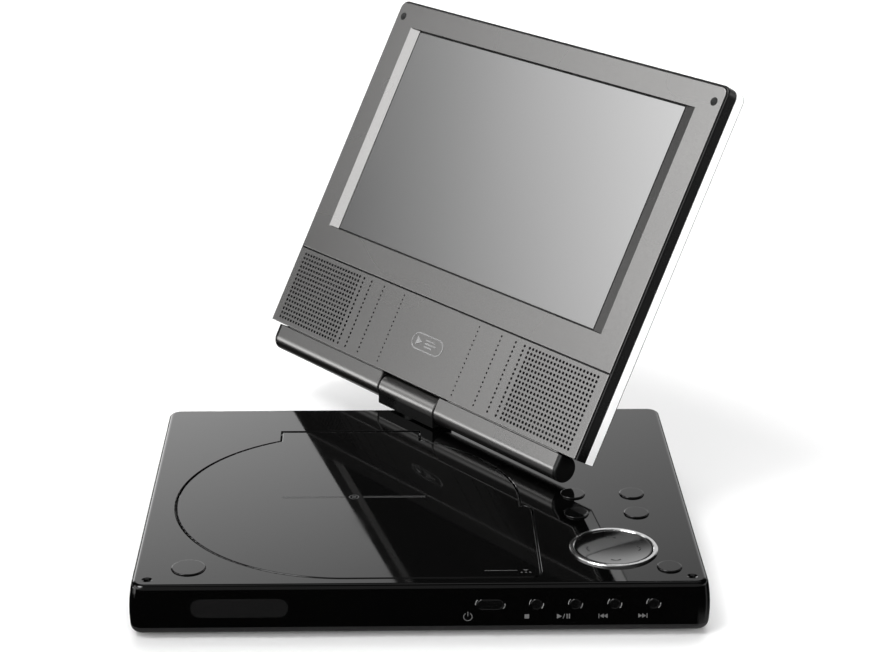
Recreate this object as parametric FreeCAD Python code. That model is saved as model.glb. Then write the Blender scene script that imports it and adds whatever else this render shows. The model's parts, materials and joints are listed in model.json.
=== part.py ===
import FreeCAD, Part
import math
import os

from FreeCAD import Placement, Rotation, Vector

# Portable DVD player: base with a disc lid, swivel hinge and tilting display.
# Millimetres, +Z up. The origin is the middle of the base's footprint on the table, +X to the
# right and -Y to the front. The display is modelled flat (X across, Y up the screen, Z out of the
# screen) with its origin on the tilt axis, and is then leant back and swivelled into place.

# ---- driving dimensions: base ----
WIDTH = 203.4            # at the widest height of the outward-bowed sides
DEPTH = 163.4
BOW_R = 55.0             # upright radius of the sides
BOW_Z = 9.0              # height at which they are widest
DECK_Z = 20.0            # top of the deck
DECK_THICK = 2.5
SHELL_Z = 1.5            # underside of the bottom shell, on top of the feet
SEAM_Z = 4.3             # seam between bottom and top shell
FLOOR_THICK = 1.6
WALL = 2.4
CORNER_R = 4.8
DECK_EDGE_R = 1.8
UNDER_EDGE_R = 2.6
FRONT_Y = -DEPTH / 2
REAR_Y = DEPTH / 2
SIDE_X = WIDTH / 2
UNDER_DECK_Z = DECK_Z - DECK_THICK
FLOOR_Z = SHELL_Z + FLOOR_THICK
GAP = 0.45               # seam between the lid and the shell
CAP_GAP = 0.15           # seam round a button

# ---- disc lid, well and drive ----
LID_X, LID_Y = -26.0, -11.0
LID_R = 64.4
LID_THICK = 2.2
LID_FRONT_Y = -75.4
LID_RIGHT_X = 42.4
LID_SHOULDER_Y = -16.0
LID_CORNER_R = 4.0
LID_EDGE_R = 0.5
TAB_HALF_X = 27.5
LID_HINGE_Y = 55.8
LID_HINGE_Z = 18.8
LID_NOSE_R = 1.2
LID_PIN_R = 0.7
WELL_R = 61.5
WELL_WALL = 1.3
WELL_FLOOR_Z = 9.4
WELL_FLOOR_THICK = 1.2
FLANGE_THICK = 1.6
SPINDLE_HOLE_R = 16.0
SLOT_HALF_X = 11.6
SLOT_END_Y = LID_Y - 60.3
CATCH_X = 33.0
CATCH_Y = -71.2

HUB_R = 7.4
PLATTER_R = 14.5
PLATTER_Z = 11.3
PLATTER_THICK = 1.2
HUB_TOP_Z = 15.6
SHAFT_R = 0.75
MOTOR_R = 11.0
BALL_R = 1.1
ROD_X = 17.0
ROD_Z = 6.0
ROD_R = 1.0
SCREW_X = LID_X + 23.5
SCREW_R = 1.2
JOURNAL_R = 0.7
RUN_FIT = 0.05           # radial clearance of a shaft in its bore
LENS_Y = LID_Y - 24.0    # lens over the innermost track
SLED_HALF_X = 10.5
CHASSIS_Z = 7.8
CHASSIS_THICK = 1.4
CHASSIS_HALF_X = 35.0

# ---- controls ----
NAV_X, NAV_Y = 69.8, -53.0
NAV_RING_R = 15.9
NAV_SLEEVE_R = 14.9
NAV_PAD_R = 13.8
NAV_PIVOT_Z = 16.2
FUNCTION_X = (58.7, 81.1)
FUNCTION_Y = (-23.2, -5.8)
FUNCTION_R = 4.6
ROUND_X, ROUND_Y, ROUND_R = 88.1, -68.5, 4.3
OPEN_X, OPEN_Y, OPEN_R = -81.5, -66.7, 6.0
CAP_HIGH = 0.6           # how far a deck button stands above the deck
FRONT_KEY_Z = 12.7
FRONT_KEY_R = 2.0
FRONT_KEY_Y = -82.2      # face of the front keys
FRONT_KEY_BACK_Y = -76.6
FRONT_KEY_EDGE_R = 0.45
POWER_X, POWER_HALF = 24.3, 4.7
FRONT_KEYS = {"stop_button": 40.4, "play_button": 54.0, "previous_button": 67.7, "next_button": 81.3}
IR_X, IR_Z, IR_LONG, IR_HIGH = -63.0, 11.7, 34.0, 7.0
DIMPLE_X, DIMPLE_Y, DIMPLE_R = 95.3, -75.5, 1.1
DIMPLE_DEEP = 0.9
DIMPLE_FLARE = 0.8       # countersink round a dimple
KEY_BOARD_Z = 13.0
BOARD_Z, BOARD_THICK = 10.2, 1.2
JACK_Z = 14.0
JACK_BORE_R = 1.8
AUDIO_JACK_Y = (12.0, 24.0, 36.0)
DC_JACK_Y = 50.0
JACK_MOUTH_X = 101.3
JACK_FACE_X = 100.4      # faces of the jack blocks in their bay in the right wall
BAY_Y = (5.9, 55.6)
BAY_Z = (10.8, 17.2)
WHEEL_X, WHEEL_Y, WHEEL_Z, WHEEL_R = 96.3, -42.0, 9.0, 6.5
POST_X, POST_Y = 94.3, 74.3
SCREW_POSTS = [(x, y) for x in (-POST_X, POST_X) for y in (-POST_Y, POST_Y)] + [(-47.0, POST_Y), (47.0, POST_Y)]
POST_SPLIT_Z = 8.0
VENT_X, VENT_Y = (-78.0, -22.0), (18.0, 46.0)    # spans of the slots in the underside
VENT_PITCH = 4.0
VENT_SLOT = 1.4

# ---- hinge ----
SWIVEL_Y = 75.0
TILT_Z = 26.8
BARREL_R = 5.2
BARREL_CAP_IN = 91.0     # where the dark end cap starts
POST_R = 3.2
BUSH_R = 4.4
RETAINER_R = 4.4
KNUCKLE_HALF = 17.9
BLOCK_HALF_Y = 5.0
BLOCK_Z = 20.8
BARREL_IN = 18.5
BARREL_OUT = 93.0
TILT_PIN_R = 2.2
SWIVEL_ANGLE = -52.5     # display turned towards the left of the base
LEAN_ANGLE = 29.2        # display leant back from upright

# ---- display, in its own flat frame ----
PANEL_HALF = 99.5
PANEL_LOW = 5.4
PANEL_TOP = 156.8
PANEL_SEAM = 40.2        # middle of the seam between speaker panel and bezel
SEAM_GAP = 0.4
PANEL_EDGE_R = 0.35
FACE_N = 5.2             # front face above the tilt axis plane
BACK_N = -5.2
FACE_THICK = 2.0
BAND_FRONT_N = -0.4
BAND_BACK_N = -4.7
PANEL_CORNER_R = 3.0
RIM_GAP = 0.25           # between the face plates and the rim round them
RIM = 0.9                # reach of the frame beyond the face plates
RIM_N = 4.6
RIM_EDGE_R = 0.6
FRAME_WALL = 2.2
WINDOW_HALF = 87.5       # outer edge of the bevels
WINDOW_IN = 82.1         # inner edge of the bevels
WINDOW_LOW = 53.3
WINDOW_TOP = 146.2
GLASS_N = 4.1
GLASS_HALF = 81.6
GLASS_GAP = 0.5          # dark gap round the glass
GRILLE_EDGE = 94.7
GRILLE_PITCH = 1.97
GRILLE_COLUMNS = 21
GRILLE_ROWS = 16
GRILLE_HOLE_R = 0.62
GRILLE_FADE = ((3.1, 0.56), (5.3, 0.5), (8.6, 0.43), (13.8, 0.36))   # gap to next column, hole radius
SPEAKER_X, SPEAKER_V, SPEAKER_R = 76.0, 22.9, 13.0
BUMPER_X, BUMPER_V, BUMPER_R = 95.3, 150.5, 1.7
BUMPER_HIGH = 0.9
BUMPER_BALL_R = 2.1      # radius of the domed top
CHIN_GAP = 0.45          # between the barrels' chin and the speaker panel
REAR_SCREW_X, REAR_SCREW_V, REAR_SCREW_R, REAR_SCREW_DEEP = 93.0, (14.0, 150.0), 2.0, 0.9
REAR_LINE_WIDE = 0.8
REAR_LINE_X, REAR_LINE_V = 86.0, (20.0, 144.0)    # decorative line in the rear cover

X_AXIS = Vector(1, 0, 0)
Y_AXIS = Vector(0, 1, 0)
Z_AXIS = Vector(0, 0, 1)


# ---- shape helpers ----
def box(x0, x1, y0, y1, z0, z1):
    return Part.makeBox(x1 - x0, y1 - y0, z1 - z0, Vector(x0, y0, z0))


def disc(x, y, r, z0, z1):
    return Part.makeCylinder(r, z1 - z0, Vector(x, y, z0), Z_AXIS)


def rod(x, y, z, r, length, axis):
    return Part.makeCylinder(r, length, Vector(x, y, z), axis)


def ring(x, y, r_out, r_in, z0, z1):
    return disc(x, y, r_out, z0, z1).cut(disc(x, y, r_in, z0, z1))


def rounded_wire(x0, x1, y0, y1, r, z=0.0):
    """Rectangle with quarter-circle corners, anticlockwise from the front left."""
    k = r * (1 - math.sqrt(0.5))
    p = [Vector(x0 + r, y0, z), Vector(x1 - r, y0, z), Vector(x1 - k, y0 + k, z), Vector(x1, y0 + r, z),
         Vector(x1, y1 - r, z), Vector(x1 - k, y1 - k, z), Vector(x1 - r, y1, z), Vector(x0 + r, y1, z),
         Vector(x0 + k, y1 - k, z), Vector(x0, y1 - r, z), Vector(x0, y0 + r, z), Vector(x0 + k, y0 + k, z)]
    edges = []
    for i in (0, 3, 6, 9):
        if p[i].distanceToPoint(p[i + 1]) > 1e-6:
            edges.append(Part.makeLine(p[i], p[i + 1]))
        edges.append(Part.Arc(p[i + 1], p[i + 2], p[(i + 3) % 12]).toShape())
    return Part.Wire(edges)


def slab(x0, x1, y0, y1, r, z0, z1):
    return Part.Face(rounded_wire(x0, x1, y0, y1, r, z0)).extrude(Vector(0, 0, z1 - z0))


def edges_at_z(shape, z):
    """Edges lying wholly in the plane at height z."""
    return [e for e in shape.Edges if abs(e.BoundBox.ZMin - z) < 1e-3 and abs(e.BoundBox.ZMax - z) < 1e-3]


def fuse(shapes):
    return shapes[0].multiFuse(shapes[1:]).removeSplitter()


def cut(shape, tools):
    return shape.cut(Part.makeCompound(tools))


# ---- base shells ----
def bowed_block(half, length):
    """Block along Y whose two X sides bow outwards."""
    def side(z):
        return half - BOW_R + math.sqrt(BOW_R ** 2 - (z - BOW_Z) ** 2)

    y = -length / 2
    low, high, mid = side(SHELL_Z), side(DECK_Z), (SHELL_Z + DECK_Z) / 2
    right = Part.Arc(Vector(low, y, SHELL_Z), Vector(side(mid), y, mid), Vector(high, y, DECK_Z))
    left = Part.Arc(Vector(-high, y, DECK_Z), Vector(-side(mid), y, mid), Vector(-low, y, SHELL_Z))
    top = Part.makeLine(Vector(high, y, DECK_Z), Vector(-high, y, DECK_Z))
    under = Part.makeLine(Vector(-low, y, SHELL_Z), Vector(low, y, SHELL_Z))
    return Part.Face(Part.Wire([right.toShape(), top, left.toShape(), under])).extrude(Vector(0, length, 0))


def base_outside():
    """Closed outside of the base, from which both shells are taken."""
    across = bowed_block(DEPTH / 2, WIDTH + 10)
    across.rotate(Vector(0, 0, 0), Z_AXIS, 90)
    body = bowed_block(WIDTH / 2, DEPTH + 10).common(across)
    body = body.makeFillet(CORNER_R, [e for e in body.Edges if e.BoundBox.ZLength > 10])
    body = body.makeFillet(DECK_EDGE_R, edges_at_z(body, DECK_Z))
    return body.makeFillet(UNDER_EDGE_R, edges_at_z(body, SHELL_Z))


def lid_outline(grow, z0, z1):
    """Plan of the disc lid: a circle, a square front right corner and the hinge tab at the back."""
    circle = disc(LID_X, LID_Y, LID_R + grow, z0, z1)
    corner = slab(LID_X, LID_RIGHT_X + grow, LID_FRONT_Y - grow, LID_SHOULDER_Y + grow,
                  LID_CORNER_R + grow, z0, z1)
    fill = box(LID_X, LID_X + 2 * LID_CORNER_R + grow, LID_FRONT_Y - grow, LID_Y, z0, z1)
    tab = box(LID_X - TAB_HALF_X - grow, LID_X + TAB_HALF_X + grow, LID_Y, LID_HINGE_Y + grow, z0, z1)
    return fuse([circle, corner, fill, tab])


def tab_pocket(z0, z1):
    """Room behind and beside the rounded rear edge of the lid's hinge tab."""
    half = TAB_HALF_X + GAP
    return box(LID_X - half, LID_X + half, LID_Y + 50, LID_HINGE_Y + LID_NOSE_R + GAP, z0, z1)


def in_lid_area(bound):
    """Whether an edge lies round the lid's opening rather than along the deck's outer edge."""
    left, right = LID_X - LID_R - 1, LID_RIGHT_X + 1
    return bound.XMin > left and bound.XMax < right and bound.YMin > LID_FRONT_Y - 1 and bound.YMax < SWIVEL_Y


def bottom_shell():
    outer = base_outside().common(box(-WIDTH, WIDTH, -DEPTH, DEPTH, SHELL_Z, SEAM_Z))
    hollow = slab(-SIDE_X + WALL, SIDE_X - WALL, FRONT_Y + WALL, REAR_Y - WALL, 1.0, FLOOR_Z, SEAM_Z)
    shell = outer.cut(hollow)
    shell = fuse([shell] + [disc(x, y, 3.4, FLOOR_Z, POST_SPLIT_Z) for x, y in SCREW_POSTS])
    holes = [disc(x, y, 2.5, SHELL_Z, 3.5) for x, y in SCREW_POSTS]
    holes += [disc(x, y, 1.2, SHELL_Z, POST_SPLIT_Z) for x, y in SCREW_POSTS]
    holes += [slab(49, 89, -20, 50, 2.0, SHELL_Z, 2.4), slab(51, 87, -18, 48, 1.0, 2.4, FLOOR_Z)]
    slots = int((VENT_Y[1] - VENT_Y[0]) / VENT_PITCH) + 1
    for i in range(slots):
        y = VENT_Y[0] + i * VENT_PITCH
        holes.append(slab(VENT_X[0], VENT_X[1], y, y + VENT_SLOT, VENT_SLOT / 2, SHELL_Z, FLOOR_Z))
    return cut(shell, holes)


def battery_door():
    door = slab(49.2, 88.8, -19.8, 49.8, 1.8, SHELL_Z, 2.4)
    grips = [box(60, 78, y, y + 0.8, SHELL_Z, SHELL_Z + 0.4) for y in (40, 42, 44)]
    return cut(door, grips)


def front_key_hole(x, half, grow):
    """Straight-sided hole for a front button, from the front wall's face inwards."""
    r = FRONT_KEY_R + grow
    y0, y1 = FRONT_Y - 1, FRONT_Y + WALL + 1
    parts = [rod(x + s * half, y0, FRONT_KEY_Z, r, y1 - y0, Y_AXIS) for s in (-1, 1)]
    if half:
        parts.append(box(x - half, x + half, y0, y1, FRONT_KEY_Z - r, FRONT_KEY_Z + r))
    return fuse(parts) if half else parts[0]


def dimple(x):
    """Small blind hole in the deck with a countersunk mouth."""
    mouth = Part.makeCone(DIMPLE_R, DIMPLE_R + DIMPLE_FLARE, DIMPLE_FLARE / 2,
                          Vector(x, DIMPLE_Y, DECK_Z - DIMPLE_FLARE / 2), Z_AXIS)
    return fuse([disc(x, DIMPLE_Y, DIMPLE_R, DECK_Z - DIMPLE_DEEP, DECK_Z), mouth])


def ir_shape(y0, y1):
    r = IR_HIGH / 2
    half = IR_LONG / 2 - r
    ends = [rod(IR_X + s * half, y0, IR_Z, r, y1 - y0, Y_AXIS) for s in (-1, 1)]
    return fuse(ends + [box(IR_X - half, IR_X + half, y0, y1, IR_Z - r, IR_Z + r)])


def top_shell():
    outer = base_outside().common(box(-WIDTH, WIDTH, -DEPTH, DEPTH, SEAM_Z, DECK_Z))
    hollow = slab(-SIDE_X + WALL, SIDE_X - WALL, FRONT_Y + WALL, REAR_Y - WALL, 1.0, SEAM_Z, UNDER_DECK_Z)
    boss = disc(0, SWIVEL_Y, BUSH_R + 1.6, 10.1, UNDER_DECK_Z).common(outer)
    posts = [disc(x, y, 3.0, POST_SPLIT_Z, UNDER_DECK_Z) for x, y in SCREW_POSTS]
    shell = fuse([outer.cut(hollow), boss] + posts)
    shell = cut(shell, [lid_outline(GAP, UNDER_DECK_Z, DECK_Z), tab_pocket(UNDER_DECK_Z, DECK_Z)])
    shell = shell.makeFillet(0.3, [e for e in edges_at_z(shell, DECK_Z) if in_lid_area(e.BoundBox)])
    holes = [disc(0, SWIVEL_Y, BUSH_R, 10.1, DECK_Z),
             disc(0, SWIVEL_Y, RETAINER_R + 0.3, POST_SPLIT_Z, 10.1),
             disc(NAV_X, NAV_Y, NAV_SLEEVE_R, UNDER_DECK_Z, DECK_Z),
             disc(ROUND_X, ROUND_Y, ROUND_R + CAP_GAP, UNDER_DECK_Z, DECK_Z),
             disc(OPEN_X, OPEN_Y, OPEN_R + CAP_GAP, UNDER_DECK_Z, DECK_Z),
             ir_shape(FRONT_Y - 1, FRONT_Y + WALL),
             front_key_hole(POWER_X, POWER_HALF - FRONT_KEY_R, CAP_GAP),
             box(SIDE_X - WALL, SIDE_X, WHEEL_Y - 6.5, WHEEL_Y + 6.5, WHEEL_Z - 0.3, WHEEL_Z + 2.7)]
    holes += [disc(x, y, FUNCTION_R + CAP_GAP, UNDER_DECK_Z, DECK_Z) for x in FUNCTION_X for y in FUNCTION_Y]
    holes += [front_key_hole(x, 0.0, CAP_GAP) for x in FRONT_KEYS.values()]
    holes.append(box(SIDE_X - WALL, SIDE_X, *BAY_Y, *BAY_Z))
    holes += [dimple(s * DIMPLE_X) for s in (-1, 1)]
    holes += [disc(x, y, 1.2, POST_SPLIT_Z, POST_SPLIT_Z + 6) for x, y in SCREW_POSTS]
    pin_bore = LID_PIN_R + RUN_FIT
    for s in (-1, 1):
        start = LID_X + s * (TAB_HALF_X + GAP) - (4 if s < 0 else 0)
        holes.append(rod(start, LID_HINGE_Y, LID_HINGE_Z, pin_bore, 4, X_AXIS))
    return cut(shell, holes)


def rubber_feet():
    feet = [disc(sx * 86, sy * 66, 5.0, 0, SHELL_Z) for sx in (-1, 1) for sy in (-1, 1)]
    return Part.makeCompound([f.makeFillet(0.5, edges_at_z(f, 0)) for f in feet])


def case_screws():
    screws = []
    for x, y in SCREW_POSTS:
        head = disc(x, y, 2.3, SHELL_Z + 0.6, 3.5)
        cross = [box(x - 1.3, x + 1.3, y - 0.25, y + 0.25, SHELL_Z, 2.7),
                 box(x - 0.25, x + 0.25, y - 1.3, y + 1.3, SHELL_Z, 2.7)]
        screws.append(fuse([head, disc(x, y, 1.2, 3.5, 13.5)]).cut(fuse(cross)))
    return Part.makeCompound(screws)


def ir_window():
    return ir_shape(FRONT_Y - 1, FRONT_Y + WALL).common(base_outside())


# ---- inside the base ----
def disc_well():
    flange_z = UNDER_DECK_Z - FLANGE_THICK
    outer_r = WELL_R + WELL_WALL
    floor_top = WELL_FLOOR_Z + WELL_FLOOR_THICK
    body = fuse([disc(LID_X, LID_Y, outer_r, WELL_FLOOR_Z, UNDER_DECK_Z),
                 lid_outline(2.5, flange_z, UNDER_DECK_Z)])
    return cut(body, [disc(LID_X, LID_Y, WELL_R, floor_top, UNDER_DECK_Z),
                      disc(LID_X, LID_Y, SPINDLE_HOLE_R, WELL_FLOOR_Z, floor_top),
                      box(LID_X - SLOT_HALF_X, LID_X + SLOT_HALF_X, SLOT_END_Y, LID_Y, WELL_FLOOR_Z, floor_top),
                      box(CATCH_X - 4, CATCH_X + 4, LID_FRONT_Y + 0.6, CATCH_Y + 1.8, flange_z, UNDER_DECK_Z),
                      tab_pocket(UNDER_DECK_Z - 0.5, UNDER_DECK_Z)])


def drive_chassis():
    top = CHASSIS_Z + CHASSIS_THICK
    front_bar_y = LID_Y - 66.4
    plate = slab(LID_X - CHASSIS_HALF_X, LID_X + CHASSIS_HALF_X, front_bar_y, LID_Y + 27, 3.0, CHASSIS_Z, top)
    bar = box(LID_X - 30, LID_X + 30, front_bar_y, front_bar_y + 2.8, 4.4, CHASSIS_Z)
    posts = [box(LID_X + s * ROD_X - 3, LID_X + s * ROD_X + 3, 2, 6, 4.4, CHASSIS_Z) for s in (-1, 1)]
    holes = [disc(LID_X, LID_Y, MOTOR_R, CHASSIS_Z, top),
             box(LID_X - 11.2, LID_X + 11.2, LID_Y - 60.5, LID_Y - 12.4, CHASSIS_Z, top),
             box(SCREW_X - 3.2, SCREW_X + 3.2, 3.2, 15, CHASSIS_Z, top),
             rod(SCREW_X, front_bar_y, ROD_Z, JOURNAL_R + RUN_FIT, 2.8, Y_AXIS)]
    holes += [rod(LID_X + s * ROD_X, front_bar_y + 0.8, ROD_Z, ROD_R, 82.6, Y_AXIS) for s in (-1, 1)]
    return cut(fuse([plate, bar] + posts), holes)


def guide_rods():
    rods = [rod(LID_X + s * ROD_X, LID_Y - 65.6, ROD_Z, ROD_R, 82.6, Y_AXIS) for s in (-1, 1)]
    return Part.makeCompound(rods)


def drive_dampers():
    dampers = []
    for sx in (-1, 1):
        for y in (-69.0, 10.0):
            post = disc(LID_X + sx * 32, y, 2.6, FLOOR_Z, CHASSIS_Z)
            waist = ring(LID_X + sx * 32, y, 3.0, 1.9, 4.8, 6.2)
            dampers.append(post.cut(waist))
    return Part.makeCompound(dampers)


def spindle_motor():
    can = disc(LID_X, LID_Y, MOTOR_R, 4.6, CHASSIS_Z + CHASSIS_THICK)
    base = disc(LID_X, LID_Y, MOTOR_R - 1.5, 3.6, 4.6)
    return fuse([can, base]).cut(disc(LID_X, LID_Y, SHAFT_R + RUN_FIT, 3.9, 10))


def feed_motor():
    can = slab(SCREW_X - 3.2, SCREW_X + 3.2, 3.2, 15, 1.0, 3.3, 8.7)
    return can.cut(rod(SCREW_X, 3.2, ROD_Z, JOURNAL_R + RUN_FIT, 2.6, Y_AXIS))


def battery_pack():
    pack = slab(47, 90, -28, 58, 2.0, 3.4, 9.4)
    return pack.makeFillet(0.8, edges_at_z(pack, 9.4))


def main_board():
    board = box(47, 97, -30, 62, BOARD_Z, BOARD_Z + BOARD_THICK)
    chips = [box(52, 66, 30, 44, 11.4, 13.0), box(70, 80, 28, 38, 11.4, 12.8), box(54, 62, 12, 22, 11.4, 12.6),
             box(70, 78, 10, 16, 11.4, 13.4)]
    return fuse([board] + chips)


def dome(x, y):
    return disc(x, y, 2.2, KEY_BOARD_Z + 1.2, KEY_BOARD_Z + 1.9)


def deck_key_board():
    board = box(47, 96.5, -72.5, 3, KEY_BOARD_Z, KEY_BOARD_Z + 1.2)
    places = [(x, y) for x in FUNCTION_X for y in FUNCTION_Y] + [(ROUND_X, ROUND_Y)]
    places += [(NAV_X + 9, NAV_Y), (NAV_X, NAV_Y + 9), (NAV_X - 9, NAV_Y), (NAV_X, NAV_Y - 9)]
    board = fuse([board] + [dome(x, y) for x, y in places])
    return board.cut(disc(POST_X, -POST_Y, 3.4, KEY_BOARD_Z, KEY_BOARD_Z + 2))


def front_key_board():
    board = box(17, 89.5, -75.4, -74.6, 8.5, 15.6)
    domes = [rod(x, -75.9, FRONT_KEY_Z, 1.5, 0.5, Y_AXIS) for x in [POWER_X] + list(FRONT_KEYS.values())]
    return fuse([board] + domes)


def jack_block(y, rear_x, half):
    """Body of a jack with its face block in the bay and a round collar at the mouth."""
    z0, z1 = BAY_Z[0] + 0.2, BAY_Z[1] - 0.2
    face = box(JACK_FACE_X - 2.4, JACK_FACE_X, y - half, y + half, z0, z1)
    face = face.makeFillet(0.4, [e for e in face.Edges if e.BoundBox.XMin > JACK_FACE_X - 1e-3])
    body = box(rear_x, JACK_FACE_X - 1, y - 3.6, y + 3.6, BOARD_Z + BOARD_THICK, 16.8)
    return fuse([body, face, rod(JACK_FACE_X - 1, y, JACK_Z, 2.7, JACK_MOUTH_X - JACK_FACE_X + 1, X_AXIS)])


def audio_jacks():
    rear_x = 86.0
    jacks = []
    for y in AUDIO_JACK_Y:
        bore = rod(rear_x, y, JACK_Z, JACK_BORE_R, JACK_MOUTH_X - rear_x, X_AXIS)
        jacks.append(jack_block(y, rear_x, 5.85).cut(bore))
    return Part.makeCompound(jacks)


def dc_jack():
    y, rear_x, floor_x = DC_JACK_Y, 87.0, 90.0
    length = JACK_MOUTH_X - floor_x
    body = jack_block(y, rear_x, 5.3).cut(rod(floor_x, y, JACK_Z, 2.1, length, X_AXIS))
    return fuse([body, rod(floor_x, y, JACK_Z, 0.8, length - 2, X_AXIS)])


# ---- hinge base ----
def swivel_bush():
    tube = ring(0, SWIVEL_Y, BUSH_R, POST_R + RUN_FIT, 10.1, DECK_Z)
    return fuse([tube, ring(0, SWIVEL_Y, 5.2, POST_R + RUN_FIT, DECK_Z, BLOCK_Z - 0.1)])


# ---- moving parts of the base ----
def disc_lid():
    under = DECK_Z - LID_THICK
    plate = lid_outline(0.0, under, DECK_Z)
    plate = plate.makeFillet(LID_EDGE_R, [e for e in edges_at_z(plate, DECK_Z)
                                          if e.BoundBox.YMin < LID_HINGE_Y - 1])
    nose = rod(LID_X - TAB_HALF_X, LID_HINGE_Y, LID_HINGE_Z, LID_NOSE_R, 2 * TAB_HALF_X, X_AXIS)
    rib = ring(LID_X, LID_Y, 60.4, 57.4, 16.3, under)
    lid = fuse([plate, nose, rib])
    holes = []
    for s in (-1, 1):
        start = LID_X + s * TAB_HALF_X - (3 if s > 0 else 0)
        holes.append(rod(start, LID_HINGE_Y, LID_HINGE_Z, LID_PIN_R, 3, X_AXIS))
    return cut(lid, holes)


def lid_hinge_pins():
    length = 6.6
    starts = (LID_X - TAB_HALF_X - length + 3, LID_X + TAB_HALF_X - 3)
    return Part.makeCompound([rod(x, LID_HINGE_Y, LID_HINGE_Z, LID_PIN_R, length, X_AXIS) for x in starts])


def lid_catch():
    under = DECK_Z - LID_THICK
    stem = box(CATCH_X - 3, CATCH_X + 3, CATCH_Y - 0.7, CATCH_Y + 0.7, 11.0, under)
    barb = box(CATCH_X - 3, CATCH_X + 3, CATCH_Y - 2.2, CATCH_Y, 11.0, 12.4)
    return fuse([stem, barb])


def turntable():
    platter = disc(LID_X, LID_Y, PLATTER_R, PLATTER_Z, PLATTER_Z + PLATTER_THICK)
    hub = disc(LID_X, LID_Y, HUB_R, PLATTER_Z + PLATTER_THICK, HUB_TOP_Z)
    hub = hub.makeChamfer(0.9, edges_at_z(hub, HUB_TOP_Z))
    shaft = disc(LID_X, LID_Y, SHAFT_R, 4.0, PLATTER_Z)
    body = fuse([platter, hub, shaft])
    pockets = []
    for i in range(3):
        a = math.radians(90 + 120 * i)
        out = Vector(math.cos(a), math.sin(a), 0)
        start = Vector(LID_X, LID_Y, 14.0) + out * 5.2
        pockets.append(Part.makeCylinder(BALL_R + RUN_FIT, 4, start, out))
    return cut(body, pockets)


def clamp_balls():
    balls = []
    for i in range(3):
        a = math.radians(90 + 120 * i)
        centre = Vector(LID_X + 6.7 * math.cos(a), LID_Y + 6.7 * math.sin(a), 14.0)
        balls.append(Part.makeSphere(BALL_R, centre))
    return Part.makeCompound(balls)


def pickup_sled():
    y0, y1 = LENS_Y - 3, LENS_Y + 11
    tower = box(LID_X - SLED_HALF_X, LID_X + SLED_HALF_X, y0, y1, 4.6, 10.4)
    ears = box(LID_X - ROD_X - 2.6, LID_X + ROD_X + 2.6, y0, y1, 4.6, 7.4)
    nut = box(LID_X + ROD_X + 2.6, SCREW_X + 0.2, y0 + 4, y1 - 4, 4.4, 7.6)
    holes = [rod(LID_X + s * ROD_X, y0, ROD_Z, ROD_R + RUN_FIT, 14, Y_AXIS) for s in (-1, 1)]
    holes.append(rod(SCREW_X, y0, ROD_Z, SCREW_R + 0.1, 14, Y_AXIS))
    holes.append(disc(LID_X, LENS_Y, 2.4, 9.6, 10.4))
    return cut(fuse([tower, ears, nut]), holes)


def pickup_lens():
    barrel = disc(LID_X, LENS_Y, 2.4, 9.6, 10.7)
    dome_cap = Part.makeSphere(2.6, Vector(LID_X, LENS_Y, 8.7)).common(disc(LID_X, LENS_Y, 2.0, 10.7, 12))
    return fuse([barrel, dome_cap])


def lead_screw():
    start = LID_Y - 63.4
    thread = rod(SCREW_X, start, ROD_Z, SCREW_R, 76.8, Y_AXIS)
    return fuse([thread, rod(SCREW_X, start - 2.4, ROD_Z, JOURNAL_R, 81.4, Y_AXIS)])


def deck_button(x, y, r, high=CAP_HIGH):
    """Round cap through the deck with a flange that stops it from falling out."""
    cap = disc(x, y, r, 16.0, DECK_Z + high)
    cap = cap.makeFillet(0.3, edges_at_z(cap, DECK_Z + high))
    return fuse([cap, disc(x, y, r + 0.8, 16.0, UNDER_DECK_Z - 0.1)])


def nav_ring():
    collar = ring(NAV_X, NAV_Y, NAV_RING_R, NAV_PAD_R + 0.4, DECK_Z, DECK_Z + 0.8)
    collar = collar.makeChamfer(0.3, edges_at_z(collar, DECK_Z + 0.8))
    return fuse([collar, ring(NAV_X, NAV_Y, NAV_SLEEVE_R, NAV_PAD_R + 0.4, UNDER_DECK_Z, DECK_Z)])


def nav_pad():
    pad = disc(NAV_X, NAV_Y, NAV_PAD_R, 17.9, DECK_Z + 0.5)
    dish_r = 90.0
    dish = Part.makeSphere(dish_r, Vector(NAV_X, NAV_Y, DECK_Z - 0.5 + dish_r))
    socket = Part.makeSphere(2.0 + RUN_FIT, Vector(NAV_X, NAV_Y, NAV_PIVOT_Z))
    legs = ring(NAV_X, NAV_Y, 4.0, 2.6, 15.4, 17.9)
    lugs = fuse([box(NAV_X - 2.9, NAV_X - 1.2, NAV_Y - 0.7, NAV_Y + 0.7, NAV_PIVOT_Z - 0.5, 17.9),
                 box(NAV_X + 1.2, NAV_X + 2.9, NAV_Y - 0.7, NAV_Y + 0.7, NAV_PIVOT_Z - 0.5, 17.9)])
    return cut(fuse([pad, legs, lugs]), [dish, socket])


def nav_pivot():
    ball = Part.makeSphere(2.0, Vector(NAV_X, NAV_Y, NAV_PIVOT_Z))
    return fuse([ball, disc(NAV_X, NAV_Y, 0.9, KEY_BOARD_Z + 1.3, NAV_PIVOT_Z)])


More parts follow.
